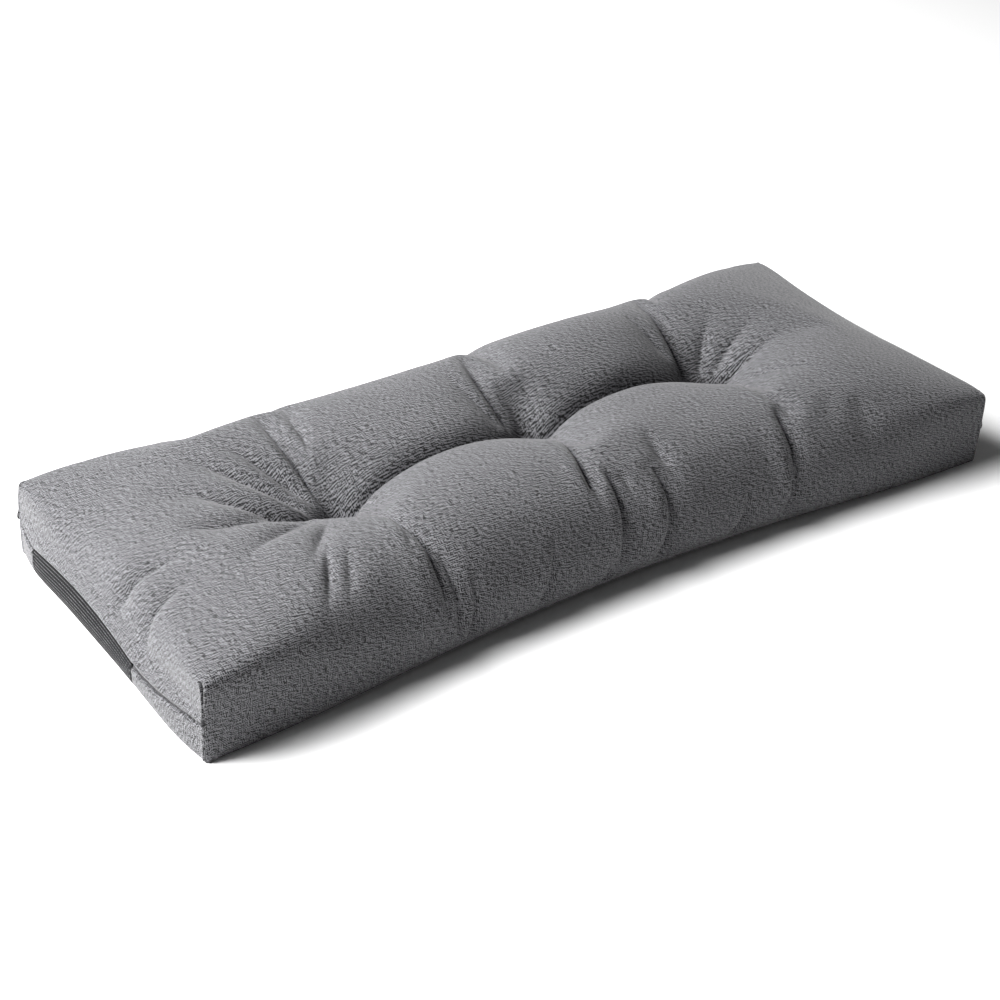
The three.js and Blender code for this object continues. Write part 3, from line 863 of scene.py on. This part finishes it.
def ease_weights(lines: Array, at: Array) -> tuple[Array, Array]:
    """Four grid lines around each place and their smooth weights.

    Args:
        lines: grid lines in rising order.
        at: places among them.

    Returns:
        Numbers of the lines and their weights, four to a place.
    """
    last = len(lines) - 1
    cell = np.clip(np.searchsorted(lines, at, side="right") - 1, 0, last - 1)
    near = np.clip(cell[:, None] + np.arange(-1, 3), 0, last)
    before, low, high, after = lines[near].T
    span = high - low
    t = np.clip((at - low) / span, 0.0, 1.0)
    rise_low = (t**3 - 2.0 * t * t + t) * span / (high - before)
    rise_high = (t**3 - t * t) * span / (after - low)
    step_up = 3.0 * t * t - 2.0 * t**3
    weights = [-rise_low, 1.0 - step_up - rise_high, step_up + rise_low, rise_high]
    return near, np.stack(weights, -1)


@dataclass
class Settling:
    """Cloth simulation in which the filling presses the cover out between its tufts."""

    form: Form = FORM
    tufts: Tufts = field(default_factory=Tufts)
    step: float = 5.0
    pressure: float = 4.0
    stiffness: float = 15.0
    bending: float = 10.0
    slack: float = 0.06
    frames: int = 20
    held_radius: float = 10.0
    slack_reach: float = 190.0
    even_rounds: int = 90
    even_share: float = 0.8
    soften_rounds: int = 4
    most: float = 18.0
    quality: int = 6
    mass: float = 0.3
    shear_share: float = 0.35
    pin_stiffness: float = 50.0
    held_full: float = 0.3
    least_edge: float = 0.5

    def run(self, shaped: "Cover") -> "Drift":
        """Let the cover settle and measure how its folds move.

        Args:
            shaped: the cover, which shapes a grid's corners.

        Returns:
            The drift of the cover's places.
        """
        half_l, half_d = self.form.half
        grid = BoxGrid(
            even_lines(-half_l, half_l, self.step),
            even_lines(-half_d, half_d, self.step),
            even_lines(0.0, self.form.corner, self.step),
        )
        rim, _ = grid.underside(grid.counts[0], grid.counts[1])
        top, sides, ends = grid.skin()
        quads = np.array(top + sides + ends + rim)
        box = grid.points()
        start, _ = shaped.tufted(box, quads, 1.0)
        holder = make_object("settling", start, quads.tolist())
        self.hold(holder, box)
        cloth = holder.modifiers.new("cloth", "CLOTH")
        self.tune(cloth)
        scene = bpy.context.scene
        for frame_number in range(1, self.frames + 1):
            scene.frame_set(frame_number)
        settled = holder.evaluated_get(bpy.context.evaluated_depsgraph_get())
        place = np.empty(len(box) * 3, dtype=np.float32)
        settled.data.vertices.foreach_get("co", place)
        moved = place.reshape(-1, 3) / MM - np.array([ORIGIN_SHIFT, 0.0, 0.0]) - start
        bpy.data.objects.remove(holder)
        scene.frame_set(1)
        moved -= self.even_share * self.evened(moved, start, quads, self.even_rounds)
        moved = self.evened(moved, start, quads, self.soften_rounds)
        far = np.linalg.norm(moved, axis=1, keepdims=True)
        moved *= self.most * np.tanh(far / self.most) / np.maximum(far, TINY)
        furthest = np.linalg.norm(moved, axis=1).max()
        LOG.info("settling: %d places, furthest %.1f mm", len(box), furthest)
        return Drift(self.form, grid, moved)

    def hold(self, holder: bpy.types.Object, box: Array) -> None:
        """Mark what is held still, and where the cloth is cut without slack.

        Args:
            holder: the object to be simulated.
            box: its corners on the plain box, mm.
        """
        u, v = self.form.cloth(box)
        radius = self.tufts.radius(u, v)
        near = np.clip(1.0 + self.held_full - radius / self.held_radius, 0.0, 1.0)
        held = np.maximum(box[:, 2] <= TOUCH, near)
        fitted = 1.0 - np.exp(-((radius / self.slack_reach) ** 2))
        for name, weights in (("held", held), ("fitted", fitted)):
            group = holder.vertex_groups.new(name=name)
            for i in np.flatnonzero(weights > 0.0):
                group.add([int(i)], float(weights[i]), "REPLACE")

    def tune(self, cloth: bpy.types.Modifier) -> None:
        """Set the simulation: cotton-like cloth, pressure inside, no gravity."""
        settings = cloth.settings
        settings.quality = self.quality
        settings.mass = self.mass
        settings.tension_stiffness = settings.compression_stiffness = self.stiffness
        settings.shear_stiffness = self.shear_share * self.stiffness
        settings.bending_stiffness = self.bending
        settings.use_pressure = True
        settings.uniform_pressure_force = self.pressure
        settings.vertex_group_mass = "held"
        settings.pin_stiffness = self.pin_stiffness
        settings.vertex_group_shrink = "fitted"
        settings.shrink_max = 0.0
        settings.shrink_min = -self.slack
        settings.effector_weights.gravity = 0.0
        cloth.collision_settings.use_collision = False
        cloth.point_cache.frame_start = 1
        cloth.point_cache.frame_end = self.frames

    def evened(self, moved: Array, start: Array, quads: Array, rounds: int) -> Array:
        """Broad part of the movement, with its folds smoothed away.

        Args:
            moved: movement of each corner, mm.
            start: where the corners began, mm.
            quads: the mesh's quads.
            rounds: how many times it is smoothed.

        Returns:
            The smoothed movement.
        """
        a, b = quads.ravel(), np.roll(quads, -1, axis=1).ravel()
        pull = 1.0 / np.maximum(np.linalg.norm(start[a] - start[b], axis=1), self.least_edge)
        total = np.bincount(a, pull, minlength=len(moved))[:, None]
        broad = moved.copy()
        for _ in range(rounds):
            parts = [np.bincount(a, pull * broad[b, k], minlength=len(moved)) for k in range(3)]
            broad = 0.5 * broad + 0.5 * np.stack(parts, -1) / total
        return broad


@dataclass
class Drift:
    """How far each place of the cover drifts, held on a coarse grid."""

    form: Form
    grid: BoxGrid
    moved: Array

    def at(self, box: Array) -> Array:
        """Drift at points of the plain box.

        Args:
            box: points on the plain box, one row each, mm.

        Returns:
            Movement of each, mm.
        """
        xs, ys, zs = self.grid.lines
        number, wrapped = self.grid.numbers(), self.grid.wrapped()
        last = len(xs) - 1
        middle = self.grid.points()[wrapped[last // 2]]
        _, around = self.form.cloth(middle)
        length = run_length(self.form.place(middle)[None], 1, 0)[0]
        _, v = self.form.cloth(box)
        place = (box[:, 0], np.interp(v, around, length))
        total = self.blend(self.moved[wrapped], (xs, length), place)
        for end in (0, last):
            inside = (np.abs(box[:, 0] - xs[end]) < TOUCH) & ~self.form.on_side(box)
            place = (box[inside, 1], box[inside, 2])
            total[inside] = self.blend(self.moved[number[end]], (ys, zs), place)
        return total

    @staticmethod
    def blend(table: Array, lines: tuple[Array, Array], at: tuple[Array, Array]) -> Array:
        """Look up a grid of movements smoothly.

        Args:
            table: rows and columns of movements.
            lines: the table's grid lines down and along.
            at: places down and along.

        Returns:
            Movement at each place.
        """
        rows, row_weights = ease_weights(lines[0], at[0])
        columns, column_weights = ease_weights(lines[1], at[1])
        total = np.zeros((len(at[0]), 3))
        for i in range(4):
            for j in range(4):
                weight = row_weights[:, i] * column_weights[:, j]
                total += table[rows[:, i], columns[:, j]] * weight[:, None]
        return total


# ---- the cushion ------------------------------------------------------------------------


@dataclass
class Cover:
    """Filled cloth cover with tufts, creases, corner seams and end seams."""

    form: Form = FORM
    tufts: Tufts = field(default_factory=Tufts)
    step: float = 2.0
    height_step: float = 1.7
    edge_lines: tuple[float, ...] = (0.0, 0.8, 1.7, 2.8, 4.2, 6.0, 8.0, 10.0)
    seat: float = 1.9
    wall: float = 0.6
    flat_from: float = 150.0
    seam_depth: float = 2.2
    seam_width: float = 1.5
    seam_lip: float = 0.9
    seam_lip_offset: float = 4.0
    seam_lip_width: float = 2.2
    held_height: float = 3.0
    held_reach: float = 14.0
    loose_reach: float = 240.0
    calm_depth: float = 8.0
    crease_gain: float = 1.4
    # reach of the painted shade to each side of a seam, mm
    seam_shade_reach: float = 1.4
    end_seam_weight: float = 0.9
    loose_above: float = 2.0
    top_coarser: float = 1.3
    underside_v: float = 1000.0
    settling: Settling | None = None

    def grid_lines(self) -> tuple[list[float], list[float], list[float]]:
        """Grid lines of the plain box, closer at seams and at the strip's edges."""
        half_l, half_d = self.form.half
        *edge, reach = self.edge_lines
        inner = even_lines(-half_l + reach, half_l - reach, self.step)
        xs = [e - half_l for e in edge] + inner + [half_l - e for e in edge[::-1]]
        gap = STRIP.clearance
        marks = [
            -half_d + reach,
            -self.flat_from,
            STRIP.front - gap - self.wall,
            STRIP.front - gap,
            STRIP.back + gap,
            STRIP.back + gap + self.wall,
            self.flat_from,
            half_d - reach,
        ]
        inner = []
        for a, b in zip(marks, marks[1:]):
            inner += even_lines(a, b, self.step)[:-1]
        inner.append(marks[-1])
        ys = [e - half_d for e in edge] + inner + [half_d - e for e in edge[::-1]]
        line = STRIP.top_line + gap
        zs = even_lines(0.0, line, self.height_step)[:-1]
        zs += [line, line + self.wall]
        zs += even_lines(line + self.wall, self.form.widest, self.height_step)[1:]
        above = self.height_step * self.top_coarser
        zs += even_lines(self.form.widest, self.form.corner, above)[1:]
        return xs, ys, zs

    def strip_seat(self, box: Array) -> Array:
        """How deep the strip's seat is at points of the plain box, mm."""
        _, y0, z0 = box.T
        room = STRIP.clearance + self.wall
        behind = np.clip((STRIP.back + room - y0) / self.wall, 0.0, 1.0)
        before = np.clip((y0 - STRIP.front + room) / self.wall, 0.0, 1.0)
        below = np.clip((STRIP.top_line + room - z0) / self.wall, 0.0, 1.0)
        height = np.where(z0 <= TOUCH, 1.0, np.where(self.form.on_end(box), below, 0.0))
        return self.seat * behind * before * height

    def seam_distance(self, box: Array) -> Array:
        """Distance along the cloth to the nearest seam, mm."""
        x0, y0, z0 = box.T
        on_end = self.form.on_end(box)
        to_end, to_side = self.form.half[0] - np.abs(x0), self.form.half[1] - np.abs(y0)
        corner = np.where(self.form.on_side(box), to_end, np.where(on_end, to_side, UNSEEN))
        outside = (y0 < STRIP.front) | (y0 > STRIP.back)
        above = np.abs(z0 - STRIP.seam_height(y0, self.form)) * self.end_seam_weight
        end = np.where(on_end & outside, above, UNSEEN)
        return np.minimum(corner, end)

    def tufted(self, box: Array, quads: Array, gain: float) -> tuple[Array, Array]:
        """Fill the plain box, then draw in its tufts and creases.

        Args:
            box: corners on the plain box, mm.
            quads: quads between them.
            gain: how strongly the creases are drawn.

        Returns:
            The tufted corners, and the filled ones, mm.
        """
        filled = self.form.place(box)
        normals = vertex_normals(filled, quads)
        u, v = self.form.cloth(box)
        pull, shift_u, shift_v = self.tufts.total(u, v, box[:, 2], gain)
        along_u, along_v = self.form.directions(box)
        points = filled + along_u * shift_u[:, None] + along_v * shift_v[:, None]
        points -= normals * pull[:, None]
        points[:, 2] = np.maximum(points[:, 2], 0.0)
        return points, filled

    def looseness(self, box: Array) -> Array:
        """Share of the settling that each place follows: none on the floor or round the strip."""
        _, y0, z0 = box.T
        loose = np.clip((z0 - self.held_height) / self.held_reach, 0.0, 1.0)
        past = np.maximum(STRIP.front - y0, y0 - STRIP.back) / self.held_reach
        over = (z0 - STRIP.top_line - self.loose_above) / (2.0 * self.held_reach)
        u, v = self.form.cloth(box)
        radius = self.tufts.radius(u, v)
        loose *= np.exp(-((radius / self.loose_reach) ** 4))
        loose *= np.exp(-self.tufts.drawn(u, v) / self.calm_depth)
        clear = np.clip(np.maximum(past, over), 0.0, 1.0)
        return loose * np.where(self.form.on_end(box), clear, 1.0)

    def build(self) -> bpy.types.Object:
        """Build the cover's mesh with its place on the cloth and the mask of painted shade along
        its seams.

        Returns:
            The cover.
        """
        grid = BoxGrid(*self.grid_lines())
        top, sides, ends = grid.skin()
        ring_x = len(self.edge_lines) - 1
        ring_y = int(np.sum(grid.lines[1] < -self.flat_from + TOUCH)) - 1
        rim, flat = grid.underside(ring_x, ring_y)
        box = grid.points()
        quads = np.array(top + sides + ends + rim)
        points, filled = self.tufted(box, quads, self.crease_gain)
        if self.settling is not None:
            points = points + self.settling.run(self).at(box) * self.looseness(box)[:, None]
        normals = vertex_normals(points, quads)
        away = self.seam_distance(box)
        groove = self.seam_depth * np.exp(-((away / self.seam_width) ** 2))
        from_lip = (away - self.seam_lip_offset) / self.seam_lip_width
        groove -= self.seam_lip * np.exp(-(from_lip**2))
        points = points - normals * (groove + self.strip_seat(box))[:, None]
        points[:, 2] = np.maximum(points[:, 2], 0.0)
        faces = top + sides + ends + rim + flat
        cover = make_object("cover_dressed", points, faces)
        counts = [len(top) + len(sides), len(ends), len(rim) + len(flat)]
        self.lay_cloth(cover, grid, filled, counts)
        # mask of painted shade along the corner and end seams, read by the cloth's material
        seam_shade_layer = cover.data.attributes.new("seam", "FLOAT", "POINT")
        value = np.exp(-((away / self.seam_shade_reach) ** 2))
        seam_shade_layer.data.foreach_set("value", value.astype(np.float32))
        return cover

    def lay_cloth(
        self, cover: bpy.types.Object, grid: BoxGrid, filled: Array, counts: list[int]
    ) -> None:
        """Give each face corner its place on the cloth, in metres, unstretched.

        Args:
            cover: the cover's object.
            grid: the grid its mesh was made from.
            filled: the grid's corners on the filled form before tufting, mm.
            counts: faces in the top and sides, in the ends, and underneath.
        """
        nx, ny, nz = grid.counts
        number, wrapped, box = grid.numbers(), grid.wrapped(), grid.points()
        middle_x, middle_y = (int(np.argmin(np.abs(line))) for line in grid.lines[:2])
        u_wrap = run_length(filled[wrapped], 0, middle_x)
        v_wrap = run_length(filled[wrapped], 1, nz + middle_y)
        place = np.zeros((3, len(box), 2))
        place[0, wrapped, 0], place[0, wrapped, 1] = u_wrap, v_wrap
        place[2, :, 0], place[2, :, 1] = box[:, 0], self.underside_v - box[:, 1]
        for end, sign in ((0, -1.0), (nx, 1.0)):
            face = number[end]
            down = run_length(filled[face], 1, nz)
            place[1, face, 0] = u_wrap[end, nz : nz + ny + 1][:, None] + sign * np.abs(down)
            place[1, face, 1] = run_length(filled[face], 0, middle_y)
        totals = np.empty(len(cover.data.polygons), dtype=np.int64)
        cover.data.polygons.foreach_get("loop_total", totals)
        group = np.repeat(np.repeat([0, 1, 2], counts), totals)
        write_uv(cover.data, place[group, loop_corners(cover.data)])


@dataclass
class Strip:
    """Non-slip strip under the cushion, turned up at both ends, with its rows of dashes."""

    sizes: StripSizes = STRIP
    form: Form = FORM
    step_along: float = 6.0
    step_across: float = 6.0
    end_lines: tuple[float, ...] = (447.0, 449.0, 451.0, 453.0, 455.0)
    end_step: float = 1.7
    row_pitch: float = 4.3
    dash_pitch: float = 3.3
    dash_inset: float = 3.0
    first_row: float = 2.5
    last_row: float = 2.0

    def path(self) -> Array:
        """Run of the strip on the plain box from one turned-up end to the other, x and z, mm."""
        half = self.form.half[0]
        rise = even_lines(0.0, self.sizes.top_line, self.end_step)
        first, *rest = self.end_lines
        flat = even_lines(-first, first, self.step_along)
        under = [-x for x in reversed(rest)] + flat + rest
        run = [(-half, z) for z in reversed(rise)] + [(x, 0.0) for x in under]
        run += [(half, z) for z in rise]
        return np.array(run)

    def surface(self, run: Array, across: Array) -> Array:
        """Points of the strip's outer face, one row for each step of the run.

        Args:
            run: x and z of the run on the plain box, mm.
            across: places across the strip, mm.

        Returns:
            Array of rows, columns and xyz, mm.
        """
        rows, columns = len(run), len(across)
        box = np.empty((rows, columns, 3))
        box[..., 0], box[..., 2] = run[:, None, 0], run[:, None, 1]
        box[..., 1] = across[None, :]
        return self.form.place(box.reshape(-1, 3)).reshape(rows, columns, 3)

    def build(self) -> bpy.types.Object:
        """Build the strip as a closed sheet.

        Returns:
            The strip.
        """
        run = self.path()
        across = np.array(even_lines(self.sizes.front, self.sizes.back, self.step_across))
        outer = self.surface(run, across)
        rows, columns = outer.shape[:2]
        number = np.arange(rows * columns).reshape(rows, columns)
        ring = [number[:-1, :-1], number[:-1, 1:], number[1:, 1:], number[1:, :-1]]
        quads = np.stack(ring, -1).reshape(-1, 4)
        flat = outer.reshape(-1, 3)
        normals = vertex_normals(flat, quads)
        inner = flat - normals * self.sizes.thickness
        count = rows * columns
        edges = [number[0, ::-1], number[1:, 0], number[-1, 1:], number[-2:0:-1, -1]]
        rim = np.concatenate(edges)
        around = np.roll(rim, -1)
        walls = np.stack([rim, rim + count, around + count, around], -1)
        faces = np.concatenate([quads, quads[:, ::-1] + count, walls])
        strip = make_object("grip_strip", np.concatenate([flat, inner]), faces.tolist())
        u = np.repeat(self.lengths(outer), columns)
        v = np.tile(across, rows)
        write_uv(strip.data, np.stack([u, v], -1)[loop_corners(strip.data) % count])
        return strip

    @staticmethod
    def lengths(outer: Array) -> Array:
        """Length along the strip's middle at each step of its run, mm."""
        return run_length(outer, 0, 0)[:, outer.shape[1] // 2]

    def dash_places(self) -> tuple[Array, Array, Array]:
        """Middle, outward direction and run of every dash.

        Returns:
            Three arrays of xyz; the first in mm.
        """
        run = self.path()
        front, back = self.sizes.front + self.dash_inset, self.sizes.back - self.dash_inset
        outer = self.surface(run, np.arange(front, back, self.dash_pitch))
        along = self.lengths(outer)
        stops = np.arange(self.first_row, along[-1] - self.last_row, self.row_pitch)
        rows = np.empty((len(stops), *outer.shape[1:]))
        for c in range(outer.shape[1]):
            for k in range(3):
                rows[:, c, k] = np.interp(stops, along, outer[:, c, k])
        shift = np.where(np.arange(len(stops)) % 2 == 0, 0.0, self.dash_pitch / 2)
        forward = np.gradient(rows, axis=0)
        sideways = np.gradient(rows, axis=1)
        sideways /= np.linalg.norm(sideways, axis=-1, keepdims=True)
        rows = rows + sideways * shift[:, None, None]
        normal = np.cross(sideways, forward)
        normal /= np.maximum(np.linalg.norm(normal, axis=-1, keepdims=True), TINY)
        return rows.reshape(-1, 3), normal.reshape(-1, 3), sideways.reshape(-1, 3)


class Stamp:
    """Geometry Nodes tree that sets one small raised dash on every point of a mesh."""

    spread: Pair = (0.75, 1.15)

    def __init__(self, name: str, material: bpy.types.Material) -> None:
        """Build the tree.

        Args:
            name: name of the tree.
            material: finish of the dashes.
        """
        self.tree = bpy.data.node_groups.new(name, "GeometryNodeTree")
        face = self.tree.interface
        face.new_socket("Geometry", in_out="INPUT", socket_type="NodeSocketGeometry")
        self.inputs = {}
        for label, value in DASH.items():
            kind = "NodeSocketInt" if isinstance(value, int) else "NodeSocketFloat"
            socket = face.new_socket(label, in_out="INPUT", socket_type=kind)
            socket.default_value = value
            self.inputs[label] = socket.identifier
        face.new_socket("Geometry", in_out="OUTPUT", socket_type="NodeSocketGeometry")
        add, link = self.tree.nodes.new, self.tree.links.new
        source, sink = add("NodeGroupInput"), add("NodeGroupOutput")
        size = add("ShaderNodeCombineXYZ")
        for axis, label in zip("XYZ", ("Length", "Width", "Height")):
            link(source.outputs[label], size.inputs[axis])
        dash = add("GeometryNodeMeshCube")
        link(size.outputs[0], dash.inputs["Size"])
        turn = add("FunctionNodeAxesToRotation")
        turn.primary_axis, turn.secondary_axis = "Z", "X"
        for attribute, label in (("outward", "Primary Axis"), ("run", "Secondary Axis")):
            named = add("GeometryNodeInputNamedAttribute")
            named.data_type = "FLOAT_VECTOR"
            named.inputs["Name"].default_value = attribute
            link(named.outputs["Attribute"], turn.inputs[label])
        spread = add("FunctionNodeRandomValue")
        spread.data_type = "FLOAT"
        spread.inputs[2].default_value, spread.inputs[3].default_value = self.spread
        link(source.outputs["Seed"], spread.inputs["Seed"])
        scatter = add("GeometryNodeInstanceOnPoints")
        link(source.outputs["Geometry"], scatter.inputs["Points"])
        link(dash.outputs["Mesh"], scatter.inputs["Instance"])
        link(turn.outputs["Rotation"], scatter.inputs["Rotation"])
        link(spread.outputs[1], scatter.inputs["Scale"])
        real = add("GeometryNodeRealizeInstances")
        link(scatter.outputs["Instances"], real.inputs["Geometry"])
        paint = add("GeometryNodeSetMaterial")
        paint.inputs["Material"].default_value = material
        link(real.outputs["Geometry"], paint.inputs["Geometry"])
        link(paint.outputs["Geometry"], sink.inputs["Geometry"])

    def apply(self, name: str, places: Array, outward: Array, run: Array) -> bpy.types.Object:
        """Set the dashes and turn them into one plain mesh.

        Args:
            name: name of the piece.
            places: middle of each dash, mm.
            outward: direction away from the strip, at each.
            run: direction of each dash.

        Returns:
            The piece, with no modifier left.
        """
        holder = make_object(name + "_points", places, [])
        for attribute, values in (("outward", outward), ("run", run)):
            layer = holder.data.attributes.new(attribute, "FLOAT_VECTOR", "POINT")
            layer.data.foreach_set("vector", values.astype(np.float32).ravel())
        modifier = holder.modifiers.new("stamp", "NODES")
        modifier.node_group = self.tree
        for label, value in DASH.items():
            modifier[self.inputs[label]] = value
        evaluated = holder.evaluated_get(bpy.context.evaluated_depsgraph_get())
        mesh = bpy.data.meshes.new_from_object(evaluated)
        mesh.name = name
        bpy.data.objects.remove(holder)
        return link_object(name, mesh)


# ---- studio -----------------------------------------------------------------------------


@dataclass(frozen=True)
class Studio:
    """Pale floor, soft light and the camera."""

    camera_place: tuple[float, float, float] = (-1025.0, -1283.0, 1073.0)
    yaw: float = 37.7
    pitch: float = 33.1
    roll: float = 3.7
    lens: float = 70.9
    sensor: float = 36.0
    clip: Pair = (0.01, 100.0)
    floor_size: float = 30.0
    floor_colour: Colour = (0.92, 0.92, 0.92, 1.0)
    floor_roughness: float = 0.9
    floor_specular: float = 0.1
    key_place: tuple[float, float, float] = (-2.05, 1.06, 2.15)
    key_size: float = 2.0
    key_power: float = 360.0
    surround: float = 0.08

    def floor(self) -> None:
        """Lay the pale floor."""
        half = self.floor_size / 2
        corners = [(x * half, y * half, 0.0) for x, y in ((-1, -1), (1, -1), (1, 1), (-1, 1))]
        mesh = bpy.data.meshes.new("floor")
        mesh.from_pydata(corners, [], [(0, 1, 2, 3)])
        paper = Nodes("floor_paper").finish(
            self.floor_colour,
            roughness=self.floor_roughness,
            specular_ior_level=self.floor_specular,
        )
        mesh.materials.append(paper)
        link_object("floor", mesh)

    def camera(self) -> None:
        """Make the camera and look through it."""
        yaw, pitch, roll = (math.radians(angle) for angle in (self.yaw, self.pitch, self.roll))
        level = Vector((math.cos(yaw), -math.sin(yaw), 0.0))
        facing = Vector((math.sin(yaw), math.cos(yaw), 0.0))
        ahead = math.cos(pitch) * facing - Vector((0.0, 0.0, math.sin(pitch)))
        upright = level.cross(ahead)
        right = math.cos(roll) * level + math.sin(roll) * upright
        up = -math.sin(roll) * level + math.cos(roll) * upright
        data = bpy.data.cameras.new("camera")
        data.sensor_width = self.sensor
        data.lens = self.lens
        data.clip_start, data.clip_end = self.clip
        camera = link_object("camera", data)
        place = (Vector(self.camera_place) + Vector((ORIGIN_SHIFT, 0.0, 0.0))) * MM
        turn = Matrix((right, up, -ahead)).transposed().to_4x4()
        camera.matrix_world = Matrix.Translation(place) @ turn
        bpy.context.scene.camera = camera

    def lights(self) -> None:
        """Hang one soft key behind on the left, in a weak white surround."""
        data = bpy.data.lights.new("key", "AREA")
        data.energy, data.size = self.key_power, self.key_size
        light = link_object("key", data)
        light.location = self.key_place
        light.rotation_mode = "QUATERNION"
        light.rotation_quaternion = (-Vector(self.key_place)).to_track_quat("-Z", "Y")
        world = bpy.data.worlds.new("surround")
        world.use_nodes = True
        inputs = world.node_tree.nodes["Background"].inputs
        inputs["Color"].default_value = (1.0, 1.0, 1.0, 1.0)
        inputs["Strength"].default_value = self.surround
        scene = bpy.context.scene
        scene.world = world
        scene.view_settings.view_transform = "Standard"

    def build(self) -> None:
        """Set up floor, camera and light."""
        self.floor()
        self.camera()
        self.lights()


def dress(piece: bpy.types.Object, material: bpy.types.Material, slot: Slot) -> None:
    """Give a piece its finish and its body."""
    piece.data.materials.clear()
    piece.data.materials.append(material)
    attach(piece, "root")


def main() -> None:
    """Build the studio and the cushion's pieces in order."""
    logging.basicConfig(level=logging.INFO, format="%(name)s: %(message)s")
    Studio().build()
    cover = Cover(settling=Settling()).build()
    dress(cover, HeatherCloth().make(), Slot.COVER)
    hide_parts("cover")
    LOG.info("cover: %d faces", len(cover.data.polygons))
    maker = Strip()
    strip = maker.build()
    dress(strip, GripCloth().make(), Slot.GRIP)
    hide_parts("grip_base")
    dash = GripDash().make()
    dashes = Stamp("dash_stamp", dash).apply("grip_dashes", *maker.dash_places())
    dress(dashes, dash, Slot.GRIP)
    LOG.info("strip: %d faces", len(strip.data.polygons))
    LOG.info("dashes: %d faces", len(dashes.data.polygons))


if __name__ == "__main__":
    main()
